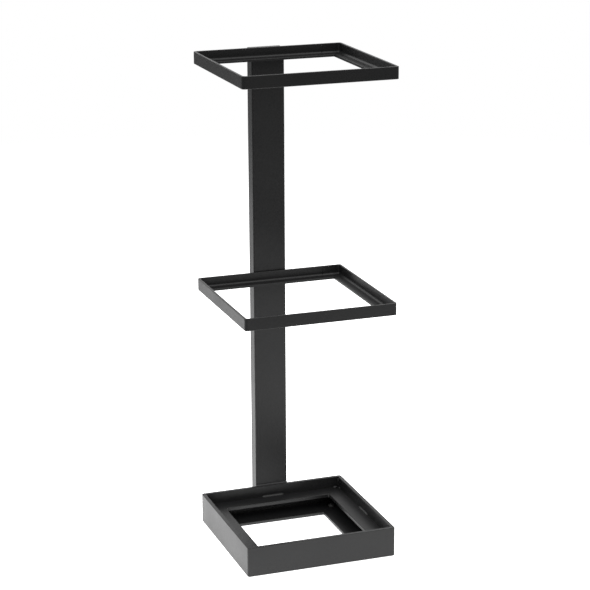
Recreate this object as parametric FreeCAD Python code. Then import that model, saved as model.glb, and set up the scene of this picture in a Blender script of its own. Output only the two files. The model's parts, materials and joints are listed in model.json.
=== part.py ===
import FreeCAD, Part
import os
from FreeCAD import Vector

# Umbrella stand: a square base, a flat post up its back, and two square rings that hold the umbrellas.
# Millimetres. +Z is up, +X is to the right and +Y is to the back, where the post is.
# The origin is on the floor, under the centre of the stand's bounding box.

# Overall sizes
PLAN = 160.0            # outside width and depth of the base and of both rings
BODY_HEIGHT = 510.0     # from the base's underside to the top of the upper ring
FOOT_HEIGHT = 1.5       # how far the rubber feet lift the base's underside

# Base: a band of flat bar on edge, a shelf part of the way up it, and a bottom plate
BASE_HEIGHT = 31.0
WALL = 4.0
BASE_CORNER = 2.5       # radius ground on the band's outside corners
SHELF_TOP = 19.0        # above the base's underside
SHELF_THICKNESS = 3.5
SHELF_WINDOW = 118.0
BOTTOM_THICKNESS = 3.0
BOTTOM_WINDOW = 98.0
WINDOW_CORNER = 1.5

# Rings: each is one length of steel angle, notched and bent round four corners and closed by a butt weld.
# One leg stands upright outside, and the other is turned in along the bottom.
RING_HEIGHT = 12.5
RING_DEPTH = 12.0
RING_THICKNESS = 2.3
RING_CORNER = 3.0       # outside corner radius in plan
RING_ROOT = 2.5         # fillet inside the angle
MID_RING_TOP = 272.0    # above the base's underside
JOINT_X = 58.0          # where the two ends meet, on the back side
JOINT_GAP = 1.2
JOINT_BEAD = 1.0        # radius of the bead left inside the angle
JOINT_PROUD = 0.4       # how far that bead stands out of the web and the ledge

# Post: flat rectangular tube behind the rings and the base
POST_WIDTH = 35.5
POST_DEPTH = 15.5
POST_WALL = 1.5
POST_CORNER = 1.5
BORE_CORNER = 0.5       # least radius inside the tube and on its plug
POST_BELOW_RING = 1.8   # the post stops this far below the upper ring's top
TOP_CAP = 1.5
PLUG_FLANGE = 1.0
PLUG_DEPTH = 14.0
PLUG_WALL = 1.2

# Rubber feet pushed through the bottom plate
FOOT_INSET = 17.0       # from the base's outside faces to a foot's centre
FOOT_RADIUS = 6.0
STEM_RADIUS = 2.5
BULB_RADIUS = 3.6
BULB_HEIGHT = 2.6
FOOT_EDGE = 0.5

# Weld beads
BEAD = 2.0
BEAD_LENGTH = 25.0
CORNER_BEAD = 1.5
CORNER_BEAD_ARM = 6.0

EDGE = 0.5              # rounding on bar and plate edges that a hand can reach
OVERCUT = 1.0           # how far a cutting block runs past what it cuts
TOLERANCE = 1e-6        # for comparing lengths

# Places worked out from the sizes above
HALF = PLAN / 2
CENTRE_Y = -POST_DEPTH / 2
BACK_Y = CENTRE_Y + HALF
BASE_Z = FOOT_HEIGHT
RING_TOP_Z = BASE_Z + BODY_HEIGHT
MID_RING_TOP_Z = BASE_Z + MID_RING_TOP
POST_TOP_Z = RING_TOP_Z - POST_BELOW_RING
INNER = PLAN - 2 * WALL
SHELF_Z = BASE_Z + SHELF_TOP - SHELF_THICKNESS
SIDES = {"front": (0, -1), "back": (0, 1), "left": (-1, 0), "right": (1, 0)}


def square_block(width, z_low, z_high, corner=0.0):
    """An upright block of square plan, centred on the rings, with round vertical corners."""
    height = z_high - z_low
    block = Part.makeBox(width, width, height, Vector(-width / 2, CENTRE_Y - width / 2, z_low))
    if corner <= 0:
        return block
    upright = [edge for edge in block.Edges if abs(edge.BoundBox.ZLength - height) < TOLERANCE]
    return block.makeFillet(corner, upright)


def edges_at(shape, z, half_width):
    """The horizontal edges at one height whose loop has the given half-width in plan."""
    found = []
    for edge in shape.Edges:
        box = edge.BoundBox
        if box.ZLength > TOLERANCE or abs(box.ZMin - z) > TOLERANCE:
            continue
        reach = max(abs(box.XMin), abs(box.XMax), abs(box.YMin - CENTRE_Y), abs(box.YMax - CENTRE_Y))
        if abs(reach - half_width) < TOLERANCE:
            found.append(edge)
    return found


def wedge(side, z_low, z_high):
    """A quarter of the plan, between two diagonals. Its slanting faces are the mitre cuts."""
    across_x, across_y = SIDES[side]
    reach = PLAN
    centre = Vector(0, CENTRE_Y, z_low)
    out = Vector(across_x, across_y, 0) * reach
    along = Vector(-across_y, across_x, 0) * reach
    corners = [centre, centre + out + along, centre + out - along, centre]
    return Part.Face(Part.makePolygon(corners)).extrude(Vector(0, 0, z_high - z_low))


def base_band():
    """The four base walls as one band, before they are cut apart."""
    top = BASE_Z + BASE_HEIGHT
    band = square_block(PLAN, BASE_Z, top, BASE_CORNER).cut(square_block(INNER, BASE_Z, top))
    loops = edges_at(band, top, HALF) + edges_at(band, top, INNER / 2) + edges_at(band, BASE_Z, HALF)
    return band.makeFillet(EDGE, loops)


def ring_angle(top):
    """One ring as a closed loop of angle, before its ends are parted."""
    bottom = top - RING_HEIGHT
    ledge = bottom + RING_THICKNESS
    pocket_width = PLAN - 2 * RING_THICKNESS
    window_width = PLAN - 2 * RING_DEPTH
    pocket = square_block(pocket_width, ledge, top + RING_ROOT, RING_ROOT)
    pocket = pocket.makeFillet(RING_ROOT, edges_at(pocket, ledge, pocket_width / 2))
    ring = square_block(PLAN, bottom, top, RING_CORNER)
    ring = ring.cut(pocket).cut(square_block(window_width, bottom - OVERCUT, top + OVERCUT))
    loops = edges_at(ring, top, HALF) + edges_at(ring, top, pocket_width / 2)
    loops += edges_at(ring, bottom, HALF) + edges_at(ring, ledge, window_width / 2)
    return ring.makeFillet(EDGE, loops)


def bead(start, end, radius):
    """A weld bead with round ends, before it is trimmed to the corner that it lies in."""
    run = end - start
    body = Part.makeCylinder(radius, run.Length, start, run)
    return body.fuse(Part.makeSphere(radius, start)).fuse(Part.makeSphere(radius, end))


def joint_gap(top):
    """The gap between a ring's two ends, at its back."""
    low = top - RING_HEIGHT
    corner = Vector(JOINT_X - JOINT_GAP / 2, BACK_Y - RING_DEPTH - OVERCUT, low - OVERCUT)
    return Part.makeBox(JOINT_GAP, RING_DEPTH + 2 * OVERCUT, RING_HEIGHT + 2 * OVERCUT, corner)


def bent_ring(top):
    """One ring as the bent length of angle, open at its joint."""
    return ring_angle(top).cut(joint_gap(top))


def ring_butt_weld(top):
    """The weld that fills the joint: flush outside, and a low bead up the web and along the ledge inside."""
    ledge = top - RING_HEIGHT + RING_THICKNESS
    sunk = JOINT_BEAD - JOINT_PROUD
    web_y = BACK_Y - RING_THICKNESS + sunk
    up_web = bead(Vector(JOINT_X, web_y, ledge), Vector(JOINT_X, web_y, top - 2 * JOINT_BEAD), JOINT_BEAD)
    ledge_end = Vector(JOINT_X, BACK_Y - RING_DEPTH + 2 * JOINT_BEAD, ledge - sunk)
    along_ledge = bead(Vector(JOINT_X, web_y, ledge - sunk), ledge_end, JOINT_BEAD)
    inside = up_web.fuse(along_ledge).cut(bent_ring(top))
    return ring_angle(top).common(joint_gap(top)).fuse(inside).removeSplitter()


def base_walls():
    """The base's band cut at its diagonals into four bars that meet in mitres."""
    band = base_band()
    box = band.BoundBox
    walls = {}
    for side in SIDES:
        walls[f"base_wall_{side}"] = band.common(wedge(side, box.ZMin - OVERCUT, box.ZMax + OVERCUT))
    return walls


def window_plate(width, window, z_low, thickness):
    """A square plate with a square window, its window's top edge eased."""
    z_high = z_low + thickness
    plate = square_block(width, z_low, z_high)
    plate = plate.cut(square_block(window, z_low - OVERCUT, z_high + OVERCUT, WINDOW_CORNER))
    return plate.makeFillet(EDGE, edges_at(plate, z_high, window / 2))


def foot_places():
    """Where the four feet stand, by name."""
    reach = HALF - FOOT_INSET
    places = {}
    for depth_name, depth in (("front", -1), ("back", 1)):
        for side_name, side in (("left", -1), ("right", 1)):
            places[f"{depth_name}_{side_name}"] = Vector(side * reach, CENTRE_Y + depth * reach, 0)
    return places


def base_bottom_plate():
    """The bottom plate, with a hole for each foot's stem."""
    plate = window_plate(INNER, BOTTOM_WINDOW, BASE_Z, BOTTOM_THICKNESS)
    for place in foot_places().values():
        plate = plate.cut(Part.makeCylinder(STEM_RADIUS, 4 * BOTTOM_THICKNESS, place))
    return plate


def foot(place):
    """A push-in foot: a pad under the plate, a stem through it and a bulb that holds it from above."""
    plate_top = BASE_Z + BOTTOM_THICKNESS
    pad = Part.makeCylinder(FOOT_RADIUS, FOOT_HEIGHT, place)
    rim = [edge for edge in pad.Edges if edge.BoundBox.ZMax < TOLERANCE]
    pad = pad.makeFillet(FOOT_EDGE, rim)
    stem = Part.makeCylinder(STEM_RADIUS, plate_top, place)
    bulb = Part.makeCone(BULB_RADIUS, STEM_RADIUS, BULB_HEIGHT, place + Vector(0, 0, plate_top))
    return pad.fuse(stem).fuse(bulb).removeSplitter()


def post_block(z_low, z_high, inset=0.0):
    """A length of the post's outline, or of its bore when inset from the outside."""
    corner = max(POST_CORNER - inset, BORE_CORNER)
    width = POST_WIDTH - 2 * inset
    depth = POST_DEPTH - 2 * inset
    height = z_high - z_low
    block = Part.makeBox(width, depth, height, Vector(-width / 2, BACK_Y + inset, z_low))
    upright = [edge for edge in block.Edges if abs(edge.BoundBox.ZLength - height) < TOLERANCE]
    return block.makeFillet(corner, upright)


def post_tube():
    """The rectangular tube, between its plug and its cap."""
    low = BASE_Z + PLUG_FLANGE
    high = POST_TOP_Z - TOP_CAP
    return post_block(low, high).cut(post_block(low - OVERCUT, high + OVERCUT, POST_WALL))


def post_top_cap():
    """The plate that closes the tube's top, its upper rim eased."""
    cap = post_block(POST_TOP_Z - TOP_CAP, POST_TOP_Z)
    rim = [edge for edge in cap.Edges if edge.BoundBox.ZMin > POST_TOP_Z - TOLERANCE]
    return cap.makeFillet(EDGE, rim)


def post_bottom_plug():
    """A plastic plug: a flange under the tube and a hollow spigot inside it."""
    spigot_low = BASE_Z + PLUG_FLANGE
    spigot_high = spigot_low + PLUG_DEPTH
    spigot = post_block(spigot_low, spigot_high, POST_WALL)
    spigot = spigot.cut(post_block(spigot_low, spigot_high + OVERCUT, POST_WALL + PLUG_WALL))
    return post_block(BASE_Z, spigot_low).fuse(spigot).removeSplitter()


def inside_band(z_low, z_high):
    """The space inside the base's walls between two heights."""
    return square_block(INNER, z_low, z_high)


def shelf_stitch_welds():
    """A stitch of weld at the middle of each side, along the shelf's top."""
    shelf_top = BASE_Z + SHELF_TOP
    reach = INNER / 2
    space = inside_band(shelf_top, shelf_top + BASE_HEIGHT)
    stitches = []
    for across_x, across_y in SIDES.values():
        middle = Vector(across_x * reach, CENTRE_Y + across_y * reach, shelf_top)
        half_run = Vector(across_y, across_x, 0) * (BEAD_LENGTH / 2 - BEAD)
        stitches.append(bead(middle - half_run, middle + half_run, BEAD).common(space))
    return Part.makeCompound(stitches)


def shelf_corner_welds():
    """A bead up each inside corner of the band, with a short arm along the shelf on each side."""
    shelf_top = BASE_Z + SHELF_TOP
    wall_top = BASE_Z + BASE_HEIGHT
    reach = INNER / 2
    space = inside_band(shelf_top, wall_top)
    welds = []
    for side_x in (-1, 1):
        for side_y in (-1, 1):
            corner = Vector(side_x * reach, CENTRE_Y + side_y * reach, shelf_top)
            upright_end = Vector(corner.x, corner.y, wall_top - 2 * CORNER_BEAD)
            weld = bead(corner, upright_end, CORNER_BEAD)
            weld = weld.fuse(bead(corner, corner - Vector(side_x * CORNER_BEAD_ARM, 0, 0), CORNER_BEAD))
            weld = weld.fuse(bead(corner, corner - Vector(0, side_y * CORNER_BEAD_ARM, 0), CORNER_BEAD))
            welds.append(weld.common(space).removeSplitter())
    return Part.makeCompound(welds)


def post_foot_weld():
    """The bead that joins the post's face to the top of the back wall."""
    top = BASE_Z + BASE_HEIGHT
    half_run = POST_WIDTH / 2 - POST_CORNER
    line = bead(Vector(-half_run, BACK_Y, top), Vector(half_run, BACK_Y, top), BEAD)
    room = Part.makeBox(POST_WIDTH, 2 * BEAD, 2 * BEAD, Vector(-POST_WIDTH / 2, BACK_Y - 2 * BEAD, top))
    return line.common(room)


def post_side_welds():
    """Upright beads in the grooves where the post meets each ring and the back wall."""
    spans = (
        (RING_TOP_Z - RING_HEIGHT, RING_TOP_Z - POST_BELOW_RING),
        (MID_RING_TOP_Z - RING_HEIGHT, MID_RING_TOP_Z),
        (BASE_Z + PLUG_FLANGE, BASE_Z + BASE_HEIGHT),
    )
    welds = []
    for low, high in spans:
        post = post_block(low - BEAD, high + BEAD)
        for side in (-1, 1):
            x = side * POST_WIDTH / 2
            margin = EDGE + BEAD
            line = bead(Vector(x, BACK_Y, low + margin), Vector(x, BACK_Y, high - margin), BEAD)
            room_x = min(x, x - side * 2 * BEAD)
            room = Part.makeBox(4 * BEAD, 2 * BEAD, high - low, Vector(room_x - BEAD, BACK_Y, low))
            welds.append(line.common(room).cut(post))
    return Part.makeCompound(welds)


def build():
    """Every node of the stand, by name."""
    nodes = {}
    nodes.update(base_walls())
    nodes["base_shelf"] = window_plate(INNER, SHELF_WINDOW, SHELF_Z, SHELF_THICKNESS)
    nodes["base_bottom_plate"] = base_bottom_plate()
    for name, place in foot_places().items():
        nodes[f"foot_{name}"] = foot(place)
    nodes["post_tube"] = post_tube()
    nodes["post_top_cap"] = post_top_cap()
    nodes["post_bottom_plug"] = post_bottom_plug()
    for name, top in (("mid_ring", MID_RING_TOP_Z), ("top_ring", RING_TOP_Z)):
        nodes[name] = bent_ring(top)
        nodes[f"{name}_butt_weld"] = ring_butt_weld(top)
    nodes["shelf_stitch_welds"] = shelf_stitch_welds()
    nodes["shelf_corner_welds"] = shelf_corner_welds()
    nodes["post_foot_weld"] = post_foot_weld()
    nodes["post_side_welds"] = post_side_welds()
    return nodes


def main():
    os.makedirs("parts", exist_ok=True)
    for name, shape in build().items():
        if not shape.isValid():
            raise ValueError(f"{name} is not a valid solid")
        shape.exportStep(f"parts/{name}.step")
        print(f"{name}: {len(shape.Solids)} solid(s), {shape.Volume / 1000:.2f} cm3")


main()
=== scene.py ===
import bmesh
import bpy
import json
import math
from mathutils import Matrix, Vector


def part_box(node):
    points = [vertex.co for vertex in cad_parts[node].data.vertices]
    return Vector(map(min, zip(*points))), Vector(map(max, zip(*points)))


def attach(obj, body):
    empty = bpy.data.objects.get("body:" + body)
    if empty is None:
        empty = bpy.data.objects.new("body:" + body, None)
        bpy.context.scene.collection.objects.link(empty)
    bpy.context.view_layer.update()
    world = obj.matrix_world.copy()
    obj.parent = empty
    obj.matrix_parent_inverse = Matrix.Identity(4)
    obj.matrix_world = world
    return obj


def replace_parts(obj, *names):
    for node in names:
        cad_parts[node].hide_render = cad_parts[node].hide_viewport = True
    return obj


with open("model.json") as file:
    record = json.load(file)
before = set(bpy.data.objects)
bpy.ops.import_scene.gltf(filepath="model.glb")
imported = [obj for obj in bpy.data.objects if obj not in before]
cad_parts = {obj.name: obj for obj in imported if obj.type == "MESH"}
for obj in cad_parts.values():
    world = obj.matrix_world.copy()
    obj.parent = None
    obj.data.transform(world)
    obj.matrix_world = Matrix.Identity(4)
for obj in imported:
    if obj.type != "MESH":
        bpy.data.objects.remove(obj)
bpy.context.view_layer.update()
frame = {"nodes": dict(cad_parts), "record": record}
NODES = frame["nodes"]

# The stand's main places, in metres, read from the frame
WALL_LOW, WALL_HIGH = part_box("base_wall_front")
BACK_WALL_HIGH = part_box("base_wall_back")[1]
BASE_UNDERSIDE = WALL_LOW.z
RING_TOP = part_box("top_ring")[1].z
BODY_HEIGHT = RING_TOP - BASE_UNDERSIDE
BASE_CENTRE = Vector((0.0, (WALL_LOW.y + BACK_WALL_HIGH.y) / 2, BASE_UNDERSIDE))

MM = 0.001


# ---------------------------------------------------------------- node helpers

def new_material(name):
    """An empty node material with its shader; returns the material, its nodes, its links and the shader."""
    material = bpy.data.materials.new(name)
    material.use_nodes = True
    nodes = material.node_tree.nodes
    return material, nodes, material.node_tree.links, nodes["Principled BSDF"]


def noise(nodes, links, coordinates, scale, detail=2.0, roughness=0.5):
    """A 3-D noise pattern of so many features to the metre."""
    texture = nodes.new("ShaderNodeTexNoise")
    texture.inputs["Scale"].default_value = scale
    texture.inputs["Detail"].default_value = detail
    texture.inputs["Roughness"].default_value = roughness
    links.new(coordinates, texture.inputs["Vector"])
    return texture.outputs["Fac"]


def remap(nodes, links, value, low, high, to_low, to_high, way="LINEAR"):
    """Stretches a value from one range to another, and holds it at the ends."""
    node = nodes.new("ShaderNodeMapRange")
    node.interpolation_type = way
    node.inputs["From Min"].default_value = low
    node.inputs["From Max"].default_value = high
    node.inputs["To Min"].default_value = to_low
    node.inputs["To Max"].default_value = to_high
    links.new(value, node.inputs["Value"])
    return node.outputs["Result"]


def mix_colour(nodes, links, factor, first, second):
    """A mix of two colours, each an RGBA or a socket."""
    node = nodes.new("ShaderNodeMix")
    node.data_type = "RGBA"
    links.new(factor, node.inputs["Factor"])
    for socket, colour in ((node.inputs["A"], first), (node.inputs["B"], second)):
        if isinstance(colour, tuple):
            socket.default_value = colour
        else:
            links.new(colour, socket)
    return node.outputs["Result"]


def combine(nodes, links, operation, first, second):
    """Two values put together by a named operation, such as ADD or MULTIPLY."""
    node = nodes.new("ShaderNodeMath")
    node.operation = operation
    links.new(first, node.inputs[0])
    links.new(second, node.inputs[1])
    return node.outputs["Value"]


def bump(nodes, links, height, distance, strength, normal=None):
    """A bump of that height in metres, on top of another if one is given."""
    node = nodes.new("ShaderNodeBump")
    node.inputs["Distance"].default_value = distance
    node.inputs["Strength"].default_value = strength
    links.new(height, node.inputs["Height"])
    if normal is not None:
        links.new(normal, node.inputs["Normal"])
    return node.outputs["Normal"]


# ------------------------------------------------------------------- materials

NOISE_LOW = 0.3             # a noise pattern mostly keeps between these two
NOISE_HIGH = 0.7
GRAIN_ROUGHNESS = 0.05      # how much the coat's grain adds to its roughness
WAVE_HEIGHT = 0.30 * MM     # bumps in the coat, from slow to fine
PEEL_HEIGHT = 0.16 * MM
GRAIN_HEIGHT = 0.010 * MM
COAT_ROUGHNESS = 0.36
BEAD_COAT_ROUGHNESS = 0.22  # the beads are glossier
ROUGHNESS_SPREAD = 0.06


def powder_coat(name, roughness):
    """Satin black powder coat: a fine orange peel, slow waves and small changes in colour and gloss."""
    material, nodes, links, shader = new_material(name)
    place = nodes.new("ShaderNodeTexCoord").outputs["Object"]
    cloud = noise(nodes, links, place, scale=18.0, detail=3.0)
    grain = noise(nodes, links, place, scale=1400.0, detail=2.0)
    peel = noise(nodes, links, place, scale=330.0, detail=2.0)
    wave = noise(nodes, links, place, scale=60.0, detail=1.0)
    dark = (0.0065, 0.0065, 0.0068, 1.0)
    light = (0.0087, 0.0088, 0.0091, 1.0)
    links.new(mix_colour(nodes, links, cloud, dark, light), shader.inputs["Base Color"])
    slow = remap(nodes, links, cloud, NOISE_LOW, NOISE_HIGH, roughness, roughness + ROUGHNESS_SPREAD)
    fine = remap(nodes, links, grain, NOISE_LOW, NOISE_HIGH, 0.0, GRAIN_ROUGHNESS)
    gloss = combine(nodes, links, "ADD", slow, fine)
    links.new(gloss, shader.inputs["Roughness"])
    surface = bump(nodes, links, wave, WAVE_HEIGHT, 0.5)
    surface = bump(nodes, links, peel, PEEL_HEIGHT, 0.6, surface)
    surface = bump(nodes, links, grain, GRAIN_HEIGHT, 0.6, surface)
    links.new(surface, shader.inputs["Normal"])
    shader.inputs["IOR"].default_value = 1.45
    return material


def rubber():
    """Matt black moulded rubber with a fine grain."""
    material, nodes, links, shader = new_material("rubber_black")
    place = nodes.new("ShaderNodeTexCoord").outputs["Object"]
    cloud = noise(nodes, links, place, scale=120.0, detail=3.0)
    grain = noise(nodes, links, place, scale=1800.0, detail=3.0)
    dark = (0.012, 0.012, 0.012, 1.0)
    light = (0.022, 0.022, 0.021, 1.0)
    links.new(mix_colour(nodes, links, cloud, dark, light), shader.inputs["Base Color"])
    links.new(remap(nodes, links, grain, NOISE_LOW, NOISE_HIGH, 0.62, 0.78), shader.inputs["Roughness"])
    links.new(bump(nodes, links, grain, 0.02 * MM, 0.6), shader.inputs["Normal"])
    return material


def plug_plastic():
    """Black moulded plastic with a spark-eroded grain."""
    material, nodes, links, shader = new_material("plastic_black")
    place = nodes.new("ShaderNodeTexCoord").outputs["Object"]
    grain = noise(nodes, links, place, scale=1500.0, detail=2.0)
    dark = (0.014, 0.014, 0.014, 1.0)
    light = (0.020, 0.020, 0.020, 1.0)
    links.new(mix_colour(nodes, links, grain, dark, light), shader.inputs["Base Color"])
    links.new(remap(nodes, links, grain, NOISE_LOW, NOISE_HIGH, 0.48, 0.6), shader.inputs["Roughness"])
    links.new(bump(nodes, links, grain, 0.015 * MM, 0.6), shader.inputs["Normal"])
    return material


def dress_cad_nodes():
    """Gives every CAD node the finished material of its slot."""
    coat = powder_coat("powder_coat_satin_black", COAT_ROUGHNESS)
    finished = {"powder_coat": coat, "rubber": rubber(), "plug_plastic": plug_plastic()}
    for entry in frame["record"]["subparts"]:
        node = NODES[entry["node"]]
        for material_slot in node.material_slots:
            material_slot.material = finished[entry["material_slot"]]
    return finished


# --------------------------------------------------------------- welds and feet

BEAD = 2.0 * MM             # leg of the beads on the shelf's stitches and on the post
BEAD_LENGTH = 25.0 * MM
CORNER_BEAD = 1.5 * MM
CORNER_ARM = 6.0 * MM
BEAD_SUNK = 0.2 * MM        # how far a bead runs into the steel on both sides
BEAD_STEP = 0.2 * MM        # from one section to the next
BEAD_SECTION = 12           # spans across a bead's face
BEAD_CROWN = 0.28           # how far a bead's face stands out of the flat between its toes
RIPPLE_PITCH = 1.3 * MM
RIPPLE_DEPTH = 0.10         # of the leg
RIPPLE_LAG = 0.9            # how far a ripple trails at the toes, in ripples
TAPER = 2.2 * MM            # over which a bead's ends die away
TAPER_LEAST = 0.25
FOOT_SEGMENTS = 48
FOOT_RIM = 0.5 * MM         # rounding round the pad's underside
FOOT_RIM_STEPS = 6
FOOT_RECESS = 0.35 * MM     # hollow in the pad's underside
FOOT_TREAD = 2.1 * MM       # width of the ring that it stands on
FOOT_SLOPE = 0.5 * MM       # from that ring down into the hollow
STEM_RADIUS = 2.5 * MM
BULB_RADIUS = 3.6 * MM
BULB_STEPS = 8
BULB_FULLNESS = 0.8         # under 1 is blunter than a dome


def mesh_object(name, mesh, material):
    """A closed mesh as a smooth-shaded piece that rides with the stand."""
    data = bpy.data.meshes.new(name)
    bmesh.ops.recalc_face_normals(mesh, faces=mesh.faces)
    mesh.to_mesh(data)
    mesh.free()
    data.shade_smooth()
    data.materials.append(material)
    piece = bpy.data.objects.new(name, data)
    bpy.context.collection.objects.link(piece)
    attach(piece, "root")
    return piece


def bead_radius(leg, distance, length, turn):
    """How far a bead's face is from its inner corner: crowned, rippled, and tapered at both ends."""
    from_end = min(distance, length - distance)
    taper = TAPER_LEAST + (1 - TAPER_LEAST) * math.sqrt(min(max(from_end, 0.0) / TAPER, 1.0))
    middle = math.sin(2 * turn)
    flat = leg / (math.cos(turn) + math.sin(turn))
    phase = distance / RIPPLE_PITCH + RIPPLE_LAG * (1 - middle)
    ripple = RIPPLE_DEPTH * leg * middle * (abs(math.sin(math.pi * phase)) - 0.5)
    return (flat * (1 + BEAD_CROWN * middle) + ripple) * taper


def add_bead(mesh, start, end, side_a, side_b, leg, sunk=BEAD_SUNK):
    """Adds one bead along an inner corner; the sides point away from the corner along the two faces."""
    run = end - start
    length = run.length
    count = max(int(length / BEAD_STEP), 4)
    sections = []
    for index in range(count + 1):
        distance = length * index / count
        corner = start + run * (index / count) - (side_a + side_b) * sunk
        section = [mesh.verts.new(corner)]
        for step in range(BEAD_SECTION + 1):
            turn = math.pi / 2 * step / BEAD_SECTION
            reach = bead_radius(leg + sunk, distance, length, turn)
            outward = side_a * math.cos(turn) + side_b * math.sin(turn)
            section.append(mesh.verts.new(corner + outward * reach))
        sections.append(section)
    points = len(sections[0])
    for near, far in zip(sections, sections[1:]):
        for index in range(points):
            following = (index + 1) % points
            mesh.faces.new((near[index], near[following], far[following], far[index]))
    mesh.faces.new(sections[0])
    mesh.faces.new(sections[-1])


def shelf_welds(material):
    """A stitch at the middle of each side of the shelf, and a three-armed weld in each corner."""
    low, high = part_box("base_shelf")
    wall_top = WALL_HIGH.z
    middle = (low + high) / 2
    up = Vector((0.0, 0.0, 1.0))
    stitches = bmesh.new()
    for out in (Vector((0, -1, 0)), Vector((0, 1, 0)), Vector((-1, 0, 0)), Vector((1, 0, 0))):
        reach = (high.x - low.x) / 2
        foot = Vector((middle.x, middle.y, high.z)) + out * reach
        half_run = out.cross(up) * (BEAD_LENGTH / 2)
        add_bead(stitches, foot - half_run, foot + half_run, -out, up, BEAD)
    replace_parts(mesh_object("shelf_stitch_beads", stitches, material), "shelf_stitch_welds")
    corners = bmesh.new()
    for x, inward_x in ((low.x, Vector((1, 0, 0))), (high.x, Vector((-1, 0, 0)))):
        for y, inward_y in ((low.y, Vector((0, 1, 0))), (high.y, Vector((0, -1, 0)))):
            foot = Vector((x, y, high.z))
            top = Vector((x, y, wall_top - CORNER_BEAD))
            add_bead(corners, foot, top, inward_x, inward_y, CORNER_BEAD)
            add_bead(corners, foot, foot + inward_x * CORNER_ARM, inward_y, up, CORNER_BEAD)
            add_bead(corners, foot, foot + inward_y * CORNER_ARM, inward_x, up, CORNER_BEAD)
    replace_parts(mesh_object("shelf_corner_beads", corners, material), "shelf_corner_welds")


def post_welds(material):
    """The bead across the post's foot, and the upright beads beside it at both rings and the base."""
    tube_low, tube_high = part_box("post_tube")
    back = BACK_WALL_HIGH.y
    weld_low, weld_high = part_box("post_foot_weld")
    foot = bmesh.new()
    start = Vector((weld_low.x, back, BACK_WALL_HIGH.z))
    end = Vector((weld_high.x, back, BACK_WALL_HIGH.z))
    add_bead(foot, start, end, Vector((0, -1, 0)), Vector((0, 0, 1)), BEAD)
    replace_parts(mesh_object("post_foot_bead", foot, material), "post_foot_weld")
    sides = bmesh.new()
    for node in ("top_ring", "mid_ring", "base_wall_back"):
        low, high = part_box(node)
        bottom = max(low.z, tube_low.z) + BEAD / 2
        top = min(high.z, tube_high.z) - BEAD / 2
        for x, out in ((tube_low.x, Vector((-1, 0, 0))), (tube_high.x, Vector((1, 0, 0)))):
            add_bead(sides, Vector((x, back, bottom)), Vector((x, back, top)), out, Vector((0, 1, 0)), BEAD)
    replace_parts(mesh_object("post_side_beads", sides, material), "post_side_welds")


def foot_profile(radius, plate_low, plate_top, top):
    """Half the outline of a rubber foot, from the middle of its underside to the tip of its bulb."""
    tread = radius - FOOT_TREAD
    outline = [(0.0, FOOT_RECESS), (tread - FOOT_SLOPE, FOOT_RECESS), (tread, 0.0)]
    for step in range(FOOT_RIM_STEPS + 1):
        turn = math.pi / 2 * step / FOOT_RIM_STEPS
        outline.append((radius - FOOT_RIM + FOOT_RIM * math.sin(turn), FOOT_RIM - FOOT_RIM * math.cos(turn)))
    outline += [(radius, plate_low), (STEM_RADIUS, plate_low)]
    outline += [(STEM_RADIUS, plate_top), (BULB_RADIUS, plate_top)]
    for step in range(1, BULB_STEPS):
        turn = math.pi / 2 * step / BULB_STEPS
        height = plate_top + (top - plate_top) * math.sin(turn)
        outline.append((BULB_RADIUS * math.cos(turn) ** BULB_FULLNESS, height))
    outline.append((0.0, top))
    return outline


def turned(mesh, outline, centre):
    """Adds a closed solid turned from half an outline, whose first and last points are on its axis."""
    turns = [2 * math.pi * step / FOOT_SEGMENTS for step in range(FOOT_SEGMENTS)]
    loops = []
    for radius, height in outline[1:-1]:
        loop = []
        for turn in turns:
            x = centre.x + radius * math.cos(turn)
            y = centre.y + radius * math.sin(turn)
            loop.append(mesh.verts.new((x, y, height)))
        loops.append(loop)
    for near, far in zip(loops, loops[1:]):
        for step in range(FOOT_SEGMENTS):
            following = (step + 1) % FOOT_SEGMENTS
            mesh.faces.new((near[step], near[following], far[following], far[step]))
    for loop, height in ((loops[0], outline[0][1]), (loops[-1], outline[-1][1])):
        pole = mesh.verts.new((centre.x, centre.y, height))
        for step in range(FOOT_SEGMENTS):
            mesh.faces.new((loop[step], loop[(step + 1) % FOOT_SEGMENTS], pole))


def rubber_feet(material):
    """Four push-in feet, each turned from one outline."""
    plate_low, plate_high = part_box("base_bottom_plate")
    for node in ("foot_front_left", "foot_front_right", "foot_back_left", "foot_back_right"):
        low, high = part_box(node)
        outline = foot_profile((high.x - low.x) / 2, plate_low.z, plate_high.z, high.z)
        mesh = bmesh.new()
        turned(mesh, outline, (low + high) / 2)
        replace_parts(mesh_object(f"turned_{node}", mesh, material), node)


# ----------------------------------------------------------------------- stage

POOL_CENTRE = (0.10, 0.37)      # the bright part of the floor is centred behind the stand
POOL_RADIUS = 0.20              # fully bright out to here
FLOOR_RADIUS = 1.75             # and gone by here
FLOOR_GLOW = 1.38
NEAR_CENTRE = (-0.14, 0.05, 0.0)    # the floor glows more close to the stand's left side
NEAR_RADIUS = 0.08
NEAR_END = 0.22
NEAR_GLOW = 1.82
SHADE_DIRECTION = (-0.62, -0.78, 0.0)   # the floor is shaded towards the front left
SHADE_START = 0.46              # from this far towards there
SHADE_END = 0.66
SHADE_LEAST = 0.25              # what is left of the floor past there
FLOOR_WHITE = (0.86, 0.86, 0.86, 1.0)
FLOOR_SEGMENTS = 128

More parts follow.
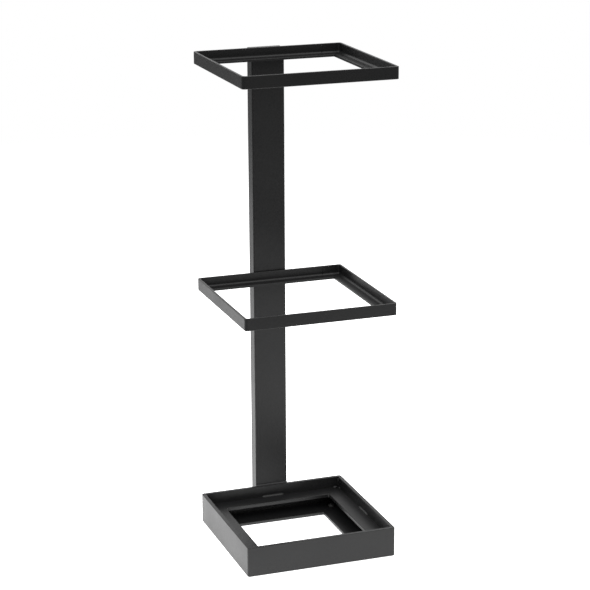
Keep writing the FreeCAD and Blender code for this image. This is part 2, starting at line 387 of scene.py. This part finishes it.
# How bright the studio is towards each elevation, in degrees, in front of the stand and behind it
FRONT_STUDIO = ((-90, 0.05), (0, 0.15), (20, 0.25), (32, 1.7), (62, 1.7), (90, 0.9))
BACK_STUDIO = ((-90, 0.10), (-2, 0.15), (1, 1.45), (12, 1.05), (40, 0.75), (90, 0.6))
BACK_DIRECTION = (0.42, 0.91, 0.0)
BACK_START = -0.4               # the studio turns from its front to its back between these
BACK_END = 0.6
STUDIO_STRENGTH = 2.2
STOP_SCALE = 2.0                # a colour stop holds at most 1, so levels are halved in it


def floor_material():
    """White and glowing: more so near the stand's left, and faded at its rim and to the front left."""
    material, nodes, links, shader = new_material("floor_white")
    place = nodes.new("ShaderNodeTexCoord").outputs["Object"]
    length = nodes.new("ShaderNodeVectorMath")
    length.operation = "LENGTH"
    links.new(place, length.inputs[0])
    fade = remap(nodes, links, length.outputs["Value"], POOL_RADIUS, FLOOR_RADIUS, 1.0, 0.0)
    in_room = nodes.new("ShaderNodeNewGeometry").outputs["Position"]
    reach = nodes.new("ShaderNodeVectorMath")
    reach.operation = "DOT_PRODUCT"
    reach.inputs[1].default_value = SHADE_DIRECTION
    links.new(in_room, reach.inputs[0])
    forward = reach.outputs["Value"]
    shade = remap(nodes, links, forward, SHADE_START, SHADE_END, 1.0, SHADE_LEAST, "SMOOTHSTEP")
    links.new(combine(nodes, links, "MULTIPLY", fade, shade), shader.inputs["Alpha"])
    shader.inputs["Base Color"].default_value = FLOOR_WHITE
    shader.inputs["Roughness"].default_value = 0.9
    shader.inputs["Specular IOR Level"].default_value = 0.2
    shader.inputs["Emission Color"].default_value = (1.0, 1.0, 1.0, 1.0)
    near = nodes.new("ShaderNodeVectorMath")
    near.operation = "DISTANCE"
    near.inputs[1].default_value = NEAR_CENTRE
    links.new(in_room, near.inputs[0])
    distance = near.outputs["Value"]
    glow = remap(nodes, links, distance, NEAR_RADIUS, NEAR_END, NEAR_GLOW, FLOOR_GLOW, "SMOOTHSTEP")
    links.new(glow, shader.inputs["Emission Strength"])
    return material


def make_floor():
    """A round white floor under the stand."""
    bpy.ops.mesh.primitive_circle_add(vertices=FLOOR_SEGMENTS, radius=FLOOR_RADIUS, fill_type="NGON")
    floor = bpy.context.object
    floor.name = "floor"
    floor.location = (POOL_CENTRE[0], POOL_CENTRE[1], 0.0)
    floor.data.materials.append(floor_material())


def studio_profile(nodes, links, height, levels):
    """A brightness for each height of the direction looked in, from a list of elevations and levels."""
    ramp = nodes.new("ShaderNodeValToRGB")
    stops = ramp.color_ramp
    links.new(height, ramp.inputs["Fac"])
    while len(stops.elements) < len(levels):
        stops.elements.new(0.5)
    for stop, (elevation, level) in zip(stops.elements, levels):
        stop.position = (math.sin(math.radians(elevation)) + 1) / 2
        grey = level / STOP_SCALE
        stop.color = (grey, grey, grey, 1.0)
    return ramp.outputs["Color"]


def make_world():
    """The camera sees plain white. The stand sees a soft studio: high light in front, a low glow behind."""
    world = bpy.data.worlds.new("studio")
    bpy.context.scene.world = world
    world.use_nodes = True
    nodes = world.node_tree.nodes
    links = world.node_tree.links
    nodes.clear()
    direction = nodes.new("ShaderNodeTexCoord").outputs["Generated"]
    split = nodes.new("ShaderNodeSeparateXYZ")
    links.new(direction, split.inputs[0])
    height = remap(nodes, links, split.outputs["Z"], -1.0, 1.0, 0.0, 1.0)
    backwards = nodes.new("ShaderNodeVectorMath")
    backwards.operation = "DOT_PRODUCT"
    backwards.inputs[1].default_value = BACK_DIRECTION
    links.new(direction, backwards.inputs[0])
    turned_back = backwards.outputs["Value"]
    facing = remap(nodes, links, turned_back, BACK_START, BACK_END, 0.0, 1.0, "SMOOTHSTEP")
    front = studio_profile(nodes, links, height, FRONT_STUDIO)
    back = studio_profile(nodes, links, height, BACK_STUDIO)
    studio = nodes.new("ShaderNodeBackground")
    studio.inputs["Strength"].default_value = STUDIO_STRENGTH
    links.new(mix_colour(nodes, links, facing, front, back), studio.inputs["Color"])
    seen = nodes.new("ShaderNodeBackground")
    path = nodes.new("ShaderNodeLightPath")
    seen.inputs["Color"].default_value = (1.0, 1.0, 1.0, 1.0)
    mix = nodes.new("ShaderNodeMixShader")
    links.new(path.outputs["Is Camera Ray"], mix.inputs["Fac"])
    links.new(studio.outputs["Background"], mix.inputs[1])
    links.new(seen.outputs["Background"], mix.inputs[2])
    output = nodes.new("ShaderNodeOutputWorld")
    links.new(mix.outputs["Shader"], output.inputs["Surface"])


# ---------------------------------------------------------------------- camera

CAMERA_AZIMUTH = math.radians(-19.458)
CAMERA_ELEVATION = math.radians(16.112)
CAMERA_ROLL = math.radians(-0.298)
CAMERA_DISTANCE = 4.0223    # in body heights
CAMERA_TARGET_HEIGHT = 0.5235
CAMERA_TARGET_RIGHT = -0.0003
FOCAL_LENGTH = 122.58       # millimetres
SENSOR_WIDTH = 36.0         # millimetres


def make_camera():
    """A long lens from the front left and above."""
    data = bpy.data.cameras.new("camera")
    data.sensor_width = SENSOR_WIDTH
    data.lens = FOCAL_LENGTH
    camera = bpy.data.objects.new("camera", data)
    bpy.context.collection.objects.link(camera)
    back = Vector((math.sin(CAMERA_AZIMUTH) * math.cos(CAMERA_ELEVATION),
                   -math.cos(CAMERA_AZIMUTH) * math.cos(CAMERA_ELEVATION),
                   math.sin(CAMERA_ELEVATION)))
    target = BASE_CENTRE + Vector((CAMERA_TARGET_RIGHT, 0.0, CAMERA_TARGET_HEIGHT)) * BODY_HEIGHT
    turn = (-back).to_track_quat("-Z", "Y").to_matrix().to_4x4() @ Matrix.Rotation(CAMERA_ROLL, 4, "Z")
    camera.matrix_world = Matrix.Translation(target + back * CAMERA_DISTANCE * BODY_HEIGHT) @ turn
    bpy.context.scene.camera = camera


finished = dress_cad_nodes()
bead_coat = powder_coat("powder_coat_on_beads", BEAD_COAT_ROUGHNESS)
shelf_welds(bead_coat)
post_welds(bead_coat)
rubber_feet(finished["rubber"])
make_floor()
make_world()
make_camera()
bpy.context.scene.view_settings.view_transform = "Standard"
